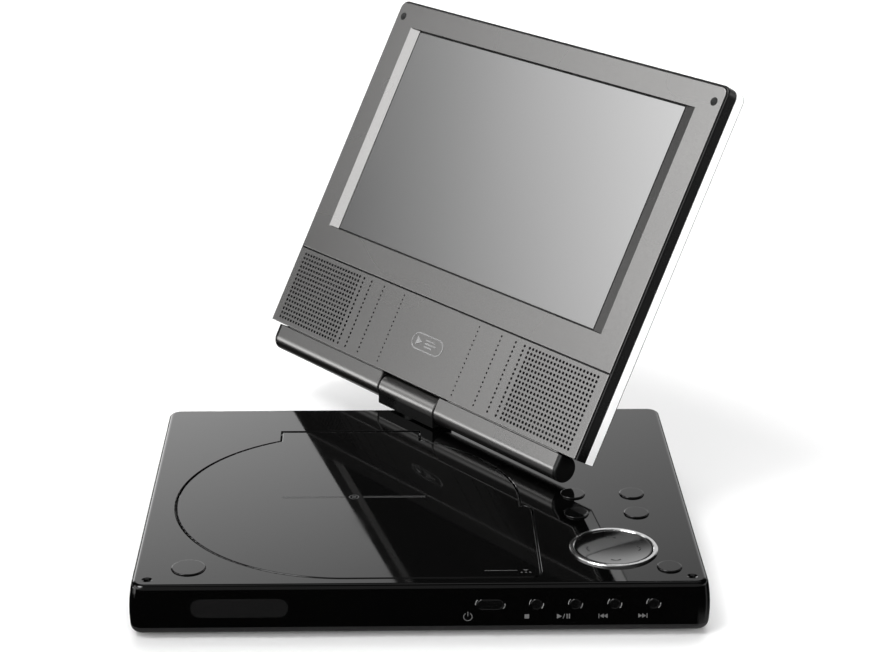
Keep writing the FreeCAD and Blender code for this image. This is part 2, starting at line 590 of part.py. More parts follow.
def front_button(x, half):
    """Cap through the front wall, with a flange behind it."""
    y0, y1 = FRONT_KEY_Y, FRONT_KEY_BACK_Y
    flange_y = FRONT_Y + WALL + 0.2
    r = FRONT_KEY_R
    cap = rod(x, y0, FRONT_KEY_Z, r, y1 - y0, Y_AXIS)
    flange = rod(x, flange_y, FRONT_KEY_Z, r + 0.7, 1.0, Y_AXIS)
    if half:
        z0, z1 = FRONT_KEY_Z - r, FRONT_KEY_Z + r
        ends = [rod(x + s * half, y0, FRONT_KEY_Z, r, y1 - y0, Y_AXIS) for s in (-1, 1)]
        cap = fuse(ends + [box(x - half, x + half, y0, y1, z0, z1)])
        rims = [rod(x + s * half, flange_y, FRONT_KEY_Z, r + 0.7, 1.0, Y_AXIS) for s in (-1, 1)]
        flange = fuse(rims + [box(x - half, x + half, flange_y, flange_y + 1.0, z0 - 0.7, z1 + 0.7)])
    rim = [e for e in cap.Edges if abs(e.BoundBox.YMax - y0) < 1e-3]
    return fuse([cap.makeFillet(FRONT_KEY_EDGE_R, rim), flange])


def volume_wheel():
    wheel = disc(WHEEL_X, WHEEL_Y, WHEEL_R, WHEEL_Z, WHEEL_Z + 2.4)
    knurl = []
    for i in range(36):
        a = math.radians(10 * i)
        knurl.append(disc(WHEEL_X + WHEEL_R * math.cos(a), WHEEL_Y + WHEEL_R * math.sin(a), 0.25,
                          WHEEL_Z, WHEEL_Z + 2.4))
    return fuse([cut(wheel, knurl), disc(WHEEL_X, WHEEL_Y, 1.0, WHEEL_Z - 2.8, WHEEL_Z)])


# ---- swivel ----
def swivel_place(shape):
    """Turn a part made facing front about the swivel axis."""
    turned = shape.copy()
    turned.rotate(Vector(0, SWIVEL_Y, 0), Z_AXIS, SWIVEL_ANGLE)
    return turned


def swivel_post():
    return ring(0, SWIVEL_Y, POST_R, 1.8, 8.2, BLOCK_Z)


def swivel_block():
    body = box(-KNUCKLE_HALF, KNUCKLE_HALF, SWIVEL_Y - BLOCK_HALF_Y, SWIVEL_Y + BLOCK_HALF_Y, BLOCK_Z, TILT_Z)
    return body.cut(rod(-KNUCKLE_HALF, SWIVEL_Y, TILT_Z, BARREL_R, 2 * KNUCKLE_HALF, X_AXIS))


def hinge_knuckle():
    body = rod(-KNUCKLE_HALF, SWIVEL_Y, TILT_Z, BARREL_R, 2 * KNUCKLE_HALF, X_AXIS)
    body = body.makeChamfer(0.35, [e for e in body.Edges if e.BoundBox.XLength < 1e-4])
    return cut(body, [rod(s * 8 - (10 if s < 0 else 0), SWIVEL_Y, TILT_Z, TILT_PIN_R, 10, X_AXIS)
                      for s in (-1, 1)])


def tilt_pins():
    return Part.makeCompound([rod(s * 8 - (24 if s < 0 else 0), SWIVEL_Y, TILT_Z, TILT_PIN_R, 24, X_AXIS)
                              for s in (-1, 1)])


def retaining_ring():
    return ring(0, SWIVEL_Y, RETAINER_R, POST_R, 8.8, 9.8)


# ---- display, in the flat frame ----
def display_place(shape):
    """Lean the flat display back and swivel it onto the tilt axis."""
    lean = Placement(Vector(0, 0, 0), Rotation(X_AXIS, 90 - LEAN_ANGLE))
    turn = Placement(Vector(0, SWIVEL_Y, TILT_Z), Rotation(Z_AXIS, SWIVEL_ANGLE))
    return shape.transformed(turn.multiply(lean).toMatrix(), copy=True)


def grille_holes():
    """Centres and radii of the speaker holes: two dense blocks that thin out towards the middle."""
    columns = [(GRILLE_EDGE - i * GRILLE_PITCH, GRILLE_HOLE_R) for i in range(GRILLE_COLUMNS)]
    for step, radius in GRILLE_FADE:
        columns.append((columns[-1][0] - step, radius))
    middle = (PANEL_LOW + PANEL_SEAM) / 2
    rows = [middle + (j - (GRILLE_ROWS - 1) / 2) * GRILLE_PITCH for j in range(GRILLE_ROWS)]
    return [(s * u, v, r) for s in (-1, 1) for u, r in columns for v in rows]


def is_hole(edge):
    return edge.isClosed()


def speaker_panel():
    low, high = PANEL_LOW, PANEL_SEAM - SEAM_GAP / 2
    outer = rounded_wire(-PANEL_HALF, PANEL_HALF, low, high, 0.6)
    wires = [outer]
    for u, v, r in grille_holes():
        wires.append(Part.Wire(Part.makeCircle(r, Vector(u, v, 0))))
    face = Part.makeFace(wires, "Part::FaceMakerBullseye")
    panel = face.extrude(Vector(0, 0, FACE_THICK))
    panel.translate(Vector(0, 0, FACE_N - FACE_THICK))
    border = [e for e in edges_at_z(panel, FACE_N) if not is_hole(e)]
    return panel.makeFillet(PANEL_EDGE_R, border)


def tall_plate(half, low, top, r, n0, n1):
    """Upright plate with rounded top corners and square lower ones."""
    corners = box(-half, half, low, low + r, n0, n1)
    return fuse([slab(-half, half, low, top, r, n0, n1), corners])


def display_bezel():
    back = FACE_N - FACE_THICK
    low = PANEL_SEAM + SEAM_GAP / 2
    body = tall_plate(PANEL_HALF, low, PANEL_TOP, PANEL_CORNER_R, back, FACE_N)
    body = body.makeFillet(PANEL_EDGE_R, edges_at_z(body, FACE_N))
    bevel = [Vector(-WINDOW_HALF, 0, FACE_N), Vector(WINDOW_HALF, 0, FACE_N), Vector(WINDOW_IN, 0, GLASS_N),
             Vector(-WINDOW_IN, 0, GLASS_N), Vector(-WINDOW_HALF, 0, FACE_N)]
    funnel = Part.Face(Part.makePolygon(bevel)).extrude(Vector(0, WINDOW_TOP - WINDOW_LOW, 0))
    funnel.translate(Vector(0, WINDOW_LOW, 0))
    seat = box(-WINDOW_IN, WINDOW_IN, WINDOW_LOW, WINDOW_TOP, back, FACE_N)
    body = cut(body, [funnel, seat])
    lips = [e for e in edges_at_z(body, FACE_N) if e.BoundBox.YLength < 1e-3 and
            min(abs(e.BoundBox.YMin - v) for v in (WINDOW_LOW, WINDOW_TOP)) < 1e-3]
    return body.makeChamfer(0.3, lips)


def screen_window():
    low, top = WINDOW_LOW + GLASS_GAP, WINDOW_TOP - GLASS_GAP
    return box(-GLASS_HALF, GLASS_HALF, low, top, FACE_N - FACE_THICK, GLASS_N)


def screen_module():
    return slab(-86, 86, WINDOW_LOW - 3, WINDOW_TOP + 3, 1.0, -1.6, FACE_N - FACE_THICK - 0.1)


def knuckle_notch():
    return box(-KNUCKLE_HALF - 1, KNUCKLE_HALF + 1, 0, PANEL_LOW + 0.9, BACK_N - 1, FACE_N - FACE_THICK)


def frame_ring(n0, n1, wall):
    half, top = PANEL_HALF + RIM, PANEL_TOP + RIM
    outer = tall_plate(half, PANEL_LOW, top, PANEL_CORNER_R + RIM, n0, n1)
    inner = slab(-half + wall, half - wall, PANEL_LOW + wall, top - wall, 1.0, n0, n1)
    return outer.cut(inner)


def display_frame():
    back = BAND_FRONT_N
    front = FACE_N - FACE_THICK
    half, top = PANEL_HALF + RIM_GAP, PANEL_TOP + RIM_GAP
    ring_body = frame_ring(back, RIM_N, FRAME_WALL + RIM)
    outer_edge = []
    for edge in edges_at_z(ring_body, RIM_N):
        b = edge.BoundBox
        if b.YMax > PANEL_LOW + 1 and (b.XMax > PANEL_HALF or b.XMin < -PANEL_HALF or b.YMax > PANEL_TOP):
            outer_edge.append(edge)
    ring_body = ring_body.makeFillet(RIM_EDGE_R, outer_edge)
    recess = tall_plate(half, PANEL_LOW - 1, top, PANEL_CORNER_R + RIM_GAP, front, FACE_N)
    rib = box(-PANEL_HALF + 1, PANEL_HALF - 1, PANEL_SEAM - 1.2, PANEL_SEAM + 1.2, back, front)
    return fuse([ring_body.cut(recess), rib]).cut(knuckle_notch())


def side_band():
    return frame_ring(BAND_BACK_N, BAND_FRONT_N, 1.8 + RIM).cut(knuckle_notch())


def rear_cover():
    half, top = PANEL_HALF + RIM, PANEL_TOP + RIM
    plate = tall_plate(half, PANEL_LOW, top, PANEL_CORNER_R + RIM, BACK_N, BAND_BACK_N)
    plate = plate.makeFillet(0.3, edges_at_z(plate, BACK_N))
    inner = slab(-PANEL_HALF + 1.9, PANEL_HALF - 1.9, PANEL_LOW + 2.8, PANEL_TOP - 1.9, 1.0, BAND_BACK_N, -3.9)
    wells = [disc(s * REAR_SCREW_X, v, REAR_SCREW_R, BACK_N, BACK_N + REAR_SCREW_DEEP)
             for s in (-1, 1) for v in REAR_SCREW_V]
    x, low, high = REAR_LINE_X, REAR_LINE_V[0], REAR_LINE_V[1]
    w, deep = REAR_LINE_WIDE, BACK_N + 0.3
    line = slab(-x, x, low, high, 4.0, BACK_N, deep)
    line = line.cut(slab(-x + w, x - w, low + w, high - w, 4.0 - w, BACK_N, deep))
    return cut(fuse([plate, inner]), wells + [line, knuckle_notch()])


def chin_section(start, length):
    """Round barrel whose front runs up flat, flush with the face, to just under the panel."""
    top = PANEL_LOW - CHIN_GAP
    chin = box(start, start + length, 0, top, 0, FACE_N)
    lip = [e for e in edges_at_z(chin, FACE_N) if e.BoundBox.YMin > top - 1e-3]
    chin = chin.makeFillet(PANEL_EDGE_R, lip)
    return fuse([rod(start, 0, 0, BARREL_R, length, X_AXIS), chin])


def hinge_barrel(side):
    length = BARREL_CAP_IN - BARREL_IN
    start = BARREL_IN if side > 0 else -BARREL_CAP_IN
    body = chin_section(start, length)
    inner_x = side * BARREL_IN
    body = body.makeChamfer(0.35, [e for e in body.Edges if abs(e.BoundBox.XMin - inner_x) < 1e-4
                                   and abs(e.BoundBox.XMax - inner_x) < 1e-4])
    neck = box(start + 3, start + length - 3, 3.0, PANEL_LOW, -3.0, 3.0)
    bore_start = BARREL_IN if side > 0 else -BARREL_IN - 15
    return fuse([body, neck]).cut(rod(bore_start, 0, 0, TILT_PIN_R + RUN_FIT, 15, X_AXIS))


def barrel_end_caps():
    caps = []
    for side in (-1, 1):
        start = BARREL_CAP_IN if side > 0 else -BARREL_OUT
        cap = chin_section(start, BARREL_OUT - BARREL_CAP_IN)
        outer_x = side * BARREL_OUT
        caps.append(cap.makeFillet(0.8, [e for e in cap.Edges if abs(e.BoundBox.XMin - outer_x) < 1e-4
                                         and abs(e.BoundBox.XMax - outer_x) < 1e-4]))
    return Part.makeCompound(caps)


def loudspeakers():
    drivers = []
    for s in (-1, 1):
        u, v = s * SPEAKER_X, SPEAKER_V
        top = FACE_N - FACE_THICK
        rim = ring(u, v, SPEAKER_R, SPEAKER_R - 2.6, 1.2, top)
        cone = Part.makeCone(4.0, SPEAKER_R - 2, 1.8, Vector(u, v, 0.2), Z_AXIS)
        cone = cone.cut(Part.makeCone(3.4, SPEAKER_R - 2.6, 1.8, Vector(u, v, 0.6), Z_AXIS))
        magnet = disc(u, v, 8.0, -3.2, 0.4)
        plate = disc(u, v, SPEAKER_R - 1.8, 1.2, 1.5).cut(disc(u, v, SPEAKER_R - 3.6, 1.2, 1.5))
        drivers.append(fuse([rim, cone, magnet, plate]))
    return Part.makeCompound(drivers)


def display_board():
    board = box(-52, 52, 12, 36, -2.9, -1.8)
    chips = [box(-30, -20, 18, 28, -1.8, -0.8), box(2, 16, 16, 30, -1.8, -0.6), box(30, 36, 20, 30, -1.8, -0.2)]
    return fuse([board] + chips)


def display_bumpers():
    bumpers = []
    for s in (-1, 1):
        centre = Vector(s * BUMPER_X, BUMPER_V, FACE_N + BUMPER_HIGH - BUMPER_BALL_R)
        ball = Part.makeSphere(BUMPER_BALL_R, centre)
        bumpers.append(ball.common(disc(s * BUMPER_X, BUMPER_V, BUMPER_R, FACE_N, FACE_N + 2)))
    return Part.makeCompound(bumpers)


# ---- every part by name ----
def base_parts():
    makers = [bottom_shell, battery_door, top_shell, rubber_feet, case_screws, ir_window, disc_well,
              drive_chassis, guide_rods, drive_dampers, spindle_motor, feed_motor, battery_pack, main_board,
              deck_key_board, front_key_board, audio_jacks, dc_jack, swivel_bush,
              nav_ring, disc_lid, lid_hinge_pins, lid_catch, turntable, clamp_balls, pickup_sled, pickup_lens,
              lead_screw, nav_pad, nav_pivot, volume_wheel]
    parts = {maker.__name__: maker() for maker in makers}
    number = 1
    for y in reversed(FUNCTION_Y):
        for x in FUNCTION_X:
            parts["function_button_%d" % number] = deck_button(x, y, FUNCTION_R)
            number += 1
    parts["menu_button"] = deck_button(ROUND_X, ROUND_Y, ROUND_R)
    parts["open_button"] = deck_button(OPEN_X, OPEN_Y, OPEN_R, 0.5)
    parts["power_button"] = front_button(POWER_X, POWER_HALF - FRONT_KEY_R)
    for name, x in FRONT_KEYS.items():
        parts[name] = front_button(x, 0.0)
    return parts


def swivel_parts():
    makers = [swivel_post, swivel_block, hinge_knuckle, tilt_pins, retaining_ring]
    return {maker.__name__: swivel_place(maker()) for maker in makers}


def display_parts():
    makers = [speaker_panel, display_bezel, screen_window, screen_module, display_frame, side_band, rear_cover,
              loudspeakers, display_board, display_bumpers, barrel_end_caps]
    parts = {maker.__name__: display_place(maker()) for maker in makers}
    parts["hinge_barrel_left"] = display_place(hinge_barrel(-1))
    parts["hinge_barrel_right"] = display_place(hinge_barrel(1))
    return parts


def main():
    os.makedirs("parts", exist_ok=True)
    parts = {**base_parts(), **swivel_parts(), **display_parts()}
    for name, shape in parts.items():
        shape.exportStep("parts/%s.step" % name)
    print(len(parts), "parts")


main()
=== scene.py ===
import json
import math

import bmesh
import bpy
from mathutils import Matrix, Vector


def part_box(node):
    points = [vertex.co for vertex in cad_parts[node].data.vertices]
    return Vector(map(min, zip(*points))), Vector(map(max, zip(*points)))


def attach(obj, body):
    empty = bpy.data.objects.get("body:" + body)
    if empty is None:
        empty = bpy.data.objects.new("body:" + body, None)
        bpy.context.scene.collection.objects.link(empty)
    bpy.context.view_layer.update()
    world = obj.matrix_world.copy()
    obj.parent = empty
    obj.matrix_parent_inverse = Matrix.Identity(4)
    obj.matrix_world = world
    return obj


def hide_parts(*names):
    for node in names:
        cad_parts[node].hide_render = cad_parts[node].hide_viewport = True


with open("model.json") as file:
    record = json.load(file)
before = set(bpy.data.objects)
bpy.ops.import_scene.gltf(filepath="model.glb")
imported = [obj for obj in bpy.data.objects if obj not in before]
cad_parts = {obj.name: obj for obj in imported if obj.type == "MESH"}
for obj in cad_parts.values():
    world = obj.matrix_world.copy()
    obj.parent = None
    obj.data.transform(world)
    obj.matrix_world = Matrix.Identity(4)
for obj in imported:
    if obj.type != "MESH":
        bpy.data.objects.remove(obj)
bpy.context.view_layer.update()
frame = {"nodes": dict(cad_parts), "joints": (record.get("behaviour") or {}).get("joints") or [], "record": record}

MM = 0.001
record = frame["record"]
nodes = frame["nodes"]
joints = {j["name"]: j for j in frame["joints"]}


# ---- node graph helpers ----
class Socket:
    """An output socket whose sums and products are Math nodes."""

    def __init__(self, graph, socket):
        self.graph, self.socket = graph, socket

    def math(self, operation, other=0.0):
        return self.graph.node("ShaderNodeMath", [self, other], operation=operation)

    def __add__(self, other):
        return self.math("ADD", other)

    def __radd__(self, other):
        return self.math("ADD", other)

    def __sub__(self, other):
        return self.math("SUBTRACT", other)

    def __rsub__(self, other):
        return self.graph.node("ShaderNodeMath", [other, self], operation="SUBTRACT")

    def __mul__(self, other):
        return self.math("MULTIPLY", other)

    def __rmul__(self, other):
        return self.math("MULTIPLY", other)


class Graph:
    """Adds nodes to a node tree and links them."""

    def __init__(self, tree):
        self.tree = tree

    def node(self, kind, inputs=(), out=0, **props):
        n = self.tree.nodes.new(kind)
        for key, value in props.items():
            setattr(n, key, value)
        pairs = inputs.items() if isinstance(inputs, dict) else enumerate(inputs)
        for key, value in pairs:
            self.link(value, n.inputs[key])
        return Socket(self, n.outputs[out])

    def link(self, value, target):
        if isinstance(value, Socket):
            self.tree.links.new(value.socket, target)
        else:
            target.default_value = value

    def step(self, value, low, high, to_low=0.0, to_high=1.0):
        """Smooth step of value from low..high to to_low..to_high."""
        return self.node("ShaderNodeMapRange", {0: value, 1: low, 2: high, 3: to_low, 4: to_high},
                         interpolation_type="SMOOTHSTEP")

    def position(self, scale=(1, 1, 1), turn=(0, 0, 0)):
        where = self.node("ShaderNodeTexCoord", out="Object")
        return self.node("ShaderNodeMapping", {"Vector": where, "Scale": scale, "Rotation": turn})

    def noise(self, size, detail=2.0, vector=None):
        """Noise whose blobs are about size metres across."""
        vector = vector or self.position()
        return self.node("ShaderNodeTexNoise", {"Vector": vector, "Scale": 1 / size, "Detail": detail})

    def cells(self, size):
        """One random colour for each cell, about size metres across."""
        return self.node("ShaderNodeTexVoronoi", {"Vector": self.position(), "Scale": 1 / size}, out="Color")

    def mix(self, factor, a, b):
        n = self.tree.nodes.new("ShaderNodeMix")
        n.data_type = "RGBA"
        self.link(factor, n.inputs["Factor"])
        self.link(a, n.inputs[6])
        self.link(b, n.inputs[7])
        return Socket(self, n.outputs[2])

    def bump(self, height, strength, distance):
        return self.node("ShaderNodeBump", {"Height": height, "Strength": strength, "Distance": distance})


def grey(value, warm=0.0):
    """Grey of a given brightness, with a little more red and less blue if it is warm."""
    return (value * (1 + warm), value, value * (1 - warm), 1.0)


def material(name, base, rough, metallic=0.0):
    """New Principled material with its constant numbers on the shader's own sockets."""
    mat = bpy.data.materials.new(name)
    mat.use_nodes = True
    shader = mat.node_tree.nodes["Principled BSDF"]
    for socket, value in (("Base Color", base), ("Roughness", rough), ("Metallic", metallic), ("IOR", 1.5)):
        shader.inputs[socket].default_value = value
    mat.diffuse_color = base
    return mat, Graph(mat.node_tree), shader


def varied(g, shader, base, amount, size, rough, rough_amount):
    """Mottles the base colour and the roughness with two noises."""
    darker = tuple(c * (1 - amount) for c in base[:3]) + (1.0,)
    lighter = tuple(min(1.0, c * (1 + amount)) for c in base[:3]) + (1.0,)
    g.link(g.mix(g.noise(size, 3.0), darker, lighter), shader.inputs["Base Color"])
    smudge = g.noise(size * 3, 4.0)
    g.link(g.step(smudge, 0.35, 0.65, rough - rough_amount, rough + rough_amount), shader.inputs["Roughness"])


# ---- materials ----
def gloss_black(name, base=0.0007, rough=0.03):
    """Polished black plastic with specks of dust, smudges and hairline scratches."""
    mat, g, shader = material(name, grey(base), rough)
    smudge = g.noise(0.03, 4.0)
    dust = g.step(g.noise(0.0006, 2.0), 0.66, 0.75)
    g.link(g.mix(dust, grey(base), grey(base * 2.2)), shader.inputs["Base Color"])
    g.link(g.step(smudge, 0.4, 0.7, rough, rough + 0.035), shader.inputs["Roughness"])
    hair = g.noise(0.004, 1.0, g.position((1, 22, 1), (0, 0, 0.6)))
    g.link(g.bump(hair, 0.02, 0.00002), shader.inputs["Normal"])
    return mat


def grained(name, base, rough, grain=0.00025, depth=0.00004, strength=0.5):
    """Moulded plastic with a fine spark-eroded grain."""
    mat, g, shader = material(name, base, rough)
    varied(g, shader, base, 0.12, 0.004, rough, 0.06)
    g.link(g.bump(g.noise(grain, 3.0), strength, depth), shader.inputs["Normal"])
    return mat


def metallic_paint(name, base, rough):
    """Silver-grey lacquer with fine flakes that differ in brightness and tilt."""
    mat, g, shader = material(name, base, rough, 1.0)
    flake = g.cells(0.00018)
    spread = g.node("ShaderNodeSeparateColor", {0: flake})
    cloud = g.noise(0.04, 0.0)
    tone = g.step(spread, 0.0, 1.0, 0.93, 1.07) * g.step(cloud, 0.0, 1.0, 0.98, 1.02)
    g.link(g.node("ShaderNodeVectorMath", {0: base[:3], "Scale": tone}, operation="SCALE"),
           shader.inputs["Base Color"])
    g.link(g.step(g.noise(0.05, 0.0), 0.0, 1.0, rough - 0.02, rough + 0.02), shader.inputs["Roughness"])
    g.link(g.bump(g.noise(0.00012, 2.0), 0.25, 0.00002), shader.inputs["Normal"])
    return mat


def brushed(name, base, rough, metallic):
    """Fine streaks along x that vary the roughness, the colour and the surface."""
    mat, g, shader = material(name, base, rough, metallic)
    streak = g.noise(0.004, 3.0, g.position((1, 30, 30)))
    g.link(g.step(streak, 0.2, 0.8, rough * 0.75, rough * 1.3), shader.inputs["Roughness"])
    g.link(g.mix(streak, grey(base[1] * 0.93), grey(min(1, base[1] * 1.05))), shader.inputs["Base Color"])
    g.link(g.bump(streak, 0.08, 0.00002), shader.inputs["Normal"])
    return mat


def machined(name, base, rough, metallic=1.0):
    """Bare metal with faint marks from its tool."""
    mat, g, shader = material(name, base, rough, metallic)
    varied(g, shader, base, 0.06, 0.003, rough, rough * 0.35)
    g.link(g.bump(g.noise(0.0004, 2.0), 0.12, 0.00002), shader.inputs["Normal"])
    return mat


def screen_film():
    """Anti-glare film over the display: grey and softly reflecting, with a fine grain."""
    mat, g, shader = material("screen_film", grey(0.42), 0.2, 1.0)
    g.link(g.mix(g.noise(0.05, 0.0), grey(0.415), grey(0.425)), shader.inputs["Base Color"])
    g.link(g.step(g.noise(0.04, 0.0), 0.0, 1.0, 0.195, 0.205), shader.inputs["Roughness"])
    g.link(g.bump(g.noise(0.00016, 2.0), 0.1, 0.00001), shader.inputs["Normal"])
    return mat


def circuit_board():
    """Green solder mask with a regular pattern of tracks."""
    mat, g, shader = material("circuit_board", (0.01, 0.09, 0.03, 1), 0.35)
    tracks = g.node("ShaderNodeTexBrick", {"Vector": g.position(), "Scale": 180.0, "Color1": (0.02, 0.16, 0.06, 1),
                                           "Color2": (0.015, 0.12, 0.045, 1), "Mortar": (0.01, 0.07, 0.025, 1),
                                           "Mortar Size": 0.12})
    g.link(tracks, shader.inputs["Base Color"])
    g.link(g.bump(g.noise(0.0008, 2.0), 0.2, 0.00005), shader.inputs["Normal"])
    return mat


MATERIALS = {
    "deck_gloss_black": gloss_black("piano_black"),
    "lower_matt_black": grained("lower_shell_black", grey(0.011), 0.6),
    "titanium_grey": metallic_paint("titanium_lacquer", grey(0.31, 0.012), 0.27),
    "frame_black": grained("frame_satin_black", grey(0.002), 0.3, 0.0004, 0.00002, 0.25),
    "bright_band": brushed("silver_band", grey(0.96), 0.35, 0.1),
    "screen_glass": screen_film(),
    "ir_smoke": gloss_black("smoked_window", 0.006, 0.06),
    "chrome_trim": machined("bright_chrome", grey(0.82), 0.2),
    "key_black": gloss_black("key_black", 0.002, 0.05),
    "rubber_black": grained("rubber", grey(0.02), 0.75, 0.0003, 0.00006, 0.8),
    "steel": machined("turned_steel", grey(0.55), 0.25),
    "zinc_screw": machined("zinc_plate", grey(0.42, 0.03), 0.32),
    "board_green": circuit_board(),
    "battery_wrap": grained("battery_wrap", (0.03, 0.05, 0.09, 1), 0.4, 0.001, 0.00002, 0.3),
    "inner_grey": grained("inner_grey", grey(0.05), 0.45),
    "drive_metal": machined("pressed_tray", grey(0.45), 0.35, 0.9),
    "lens_blue": machined("lens", (0.05, 0.12, 0.3, 1), 0.05, 0.3),
}
for row in record["subparts"]:
    slots = nodes[row["node"]].data.materials
    slots.clear()
    slots.append(MATERIALS[row["material_slot"]])


# ---- flat frame of the display: u across, v up the screen, n out of the screen ----
tilt = joints["display_tilt"]
TILT_POINT = Vector(tilt["pos_m"])
U = -Vector(tilt["axis"]).normalized()
glass_faces = nodes["screen_window"].data.polygons
N = max(glass_faces, key=lambda face: face.area).normal.copy()
N = N if N.z > 0 else -N
V = N.cross(U)
PANEL = Matrix((U, V, N)).transposed().to_4x4()
PANEL.translation = TILT_POINT


def flat_range(node, axis):
    """Lowest and highest place of a display node along u, v or n, in metres from the tilt axis."""
    places = [(vert.co - TILT_POINT).dot(axis) for vert in nodes[node].data.vertices]
    return min(places), max(places)


FACE_N = flat_range("speaker_panel", N)[1]


# ---- mesh helpers ----
def piece(name, bm, mat, body, place=Matrix.Identity(4), smooth=True):
    """Turns a bmesh in its own frame into a finished piece that rides on a body."""
    mesh = bpy.data.meshes.new(name)
    bmesh.ops.recalc_face_normals(bm, faces=bm.faces)
    bm.to_mesh(mesh)
    bm.free()
    mesh.transform(place)
    if smooth:
        for face in mesh.polygons:
            face.use_smooth = True
    obj = bpy.data.objects.new(name, mesh)
    bpy.context.scene.collection.objects.link(obj)
    mesh.materials.append(mat)
    if smooth:
        mesh.set_sharp_from_angle(angle=math.radians(35))
    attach(obj, body)
    return obj


def raised(bm, outline, height, low=0.0, bevel=0.0):
    """Adds a flat shape with a given outline, standing from low to low + height in z."""
    bottom = [bm.verts.new((x, y, low)) for x, y in outline]
    top = [bm.verts.new((x, y, low + height)) for x, y in outline]
    bm.faces.new(bottom)
    cap = bm.faces.new(top)
    count = len(outline)
    for i in range(count):
        bm.faces.new((bottom[i], bottom[(i + 1) % count], top[(i + 1) % count], top[i]))
    if bevel:
        bmesh.ops.bevel(bm, geom=list(cap.edges), offset=bevel, segments=2, affect="EDGES")


def arc(cx, cy, r, start, end, steps):
    """Points along an arc, both ends included."""
    turns = [start + (end - start) * i / steps for i in range(steps + 1)]
    return [(cx + r * math.cos(turn), cy + r * math.sin(turn)) for turn in turns]


def ring_shape(bm, r_out, r_in, height, start=0.0, end=2 * math.pi, steps=48, cx=0.0, cy=0.0):
    """Band of rectangular section round a full circle or a part of it."""
    whole = abs(end - start - 2 * math.pi) < 1e-6
    count = steps if whole else steps + 1
    rows = []
    for r, z in ((r_out, 0.0), (r_out, height), (r_in, height), (r_in, 0.0)):
        rows.append([bm.verts.new((x, y, z)) for x, y in arc(cx, cy, r, start, end, steps)[:count]])
    for k in range(4):
        a, b = rows[k], rows[(k + 1) % 4]
        for i in range(count if whole else count - 1):
            j = (i + 1) % count
            bm.faces.new((a[i], a[j], b[j], b[i]))
    if not whole:
        bm.faces.new([row[0] for row in rows])
        bm.faces.new([row[-1] for row in reversed(rows)])


# ---- printed symbols by the front keys ----
PRINT_HIGH = 0.06 * MM
print_mat = grained("print_grey", grey(0.11), 0.5, 0.0002, 0.00001, 0.2)
front_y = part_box("top_shell")[0].y


def middle(node):
    low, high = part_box(node)
    return (low + high) / 2


def rectangle(x0, x1, y, half):
    """Outline from x0 to x1 and from y - half to y + half."""
    return [(x0, y - half), (x1, y - half), (x1, y + half), (x0, y + half)]


def triangle(cx, half, high, direction=1):
    """Outline of an arrow head that points to +x or, with direction -1, to -x."""
    return [(cx - direction * half, -high), (cx + direction * half, 0.0), (cx - direction * half, high)]


def power_symbol(bm):
    ring_shape(bm, 1.6 * MM, 1.36 * MM, PRINT_HIGH, math.radians(120), math.radians(420), 36)
    raised(bm, rectangle(-0.13 * MM, 0.13 * MM, 1.1 * MM, 0.85 * MM), PRINT_HIGH)


def stop_symbol(bm):
    raised(bm, rectangle(-0.8 * MM, 0.8 * MM, 0.0, 0.8 * MM), PRINT_HIGH)


def play_symbol(bm):
    raised(bm, triangle(-1.7 * MM, 0.9 * MM, 0.95 * MM), PRINT_HIGH)
    raised(bm, [(-0.55 * MM, -0.9 * MM), (-0.3 * MM, -0.9 * MM), (0.25 * MM, 0.9 * MM), (0.0, 0.9 * MM)], PRINT_HIGH)
    for x in (0.75, 1.55):
        raised(bm, rectangle(x * MM, (x + 0.45) * MM, 0.0, 0.9 * MM), PRINT_HIGH)


def skip_symbol(bm, direction):
    for x in (-0.75, 0.6):
        raised(bm, triangle(direction * x * MM, 0.68 * MM, 0.85 * MM, direction), PRINT_HIGH)
    x0, x1 = sorted((direction * 1.45 * MM, direction * 1.75 * MM))
    raised(bm, rectangle(x0, x1, 0.0, 0.85 * MM), PRINT_HIGH)


SYMBOL_DROP = 4.8 * MM
# key, name, shape and millimetres to the left of the key's middle
SYMBOLS = (("power_button", "power_symbol", power_symbol, 7.8),
           ("stop_button", "stop_symbol", stop_symbol, 3.3),
           ("play_button", "play_pause_symbol", play_symbol, 3.8),
           ("previous_button", "previous_symbol", lambda bm: skip_symbol(bm, -1), 3.8),
           ("next_button", "next_symbol", lambda bm: skip_symbol(bm, 1), 3.8))
for node, name, draw, left in SYMBOLS:
    centre = middle(node)
    place = Matrix.Translation((centre.x - left * MM, front_y + 0.01 * MM, centre.z - SYMBOL_DROP)) \
        @ Matrix.Rotation(math.pi / 2, 4, "X")
    bm = bmesh.new()
    draw(bm)
    piece(name, bm, print_mat, "base", place, smooth=False)


# ---- painted highlights: bright arcs at two sides of each front key, in place of the reflection on the holes' rounded edges ----
KEY_HOLE_R = 2.2 * MM
LONG_KEY_HALF = {"power_button": 2.7 * MM}      # from the middle to the centre of each rounded end
HIGHLIGHT_WIDE = 0.34 * MM
HIGHLIGHT_HIGH = 0.12 * MM
HIGHLIGHT_FROM, HIGHLIGHT_TO = -44, 6                       # degrees from the side of the key
# painted highlight: light grey metal crescents stand in for glints of light on the key holes' rounded edges
painted_highlight_mat = machined("painted_key_highlight", grey(0.55), 0.3, 0.5)


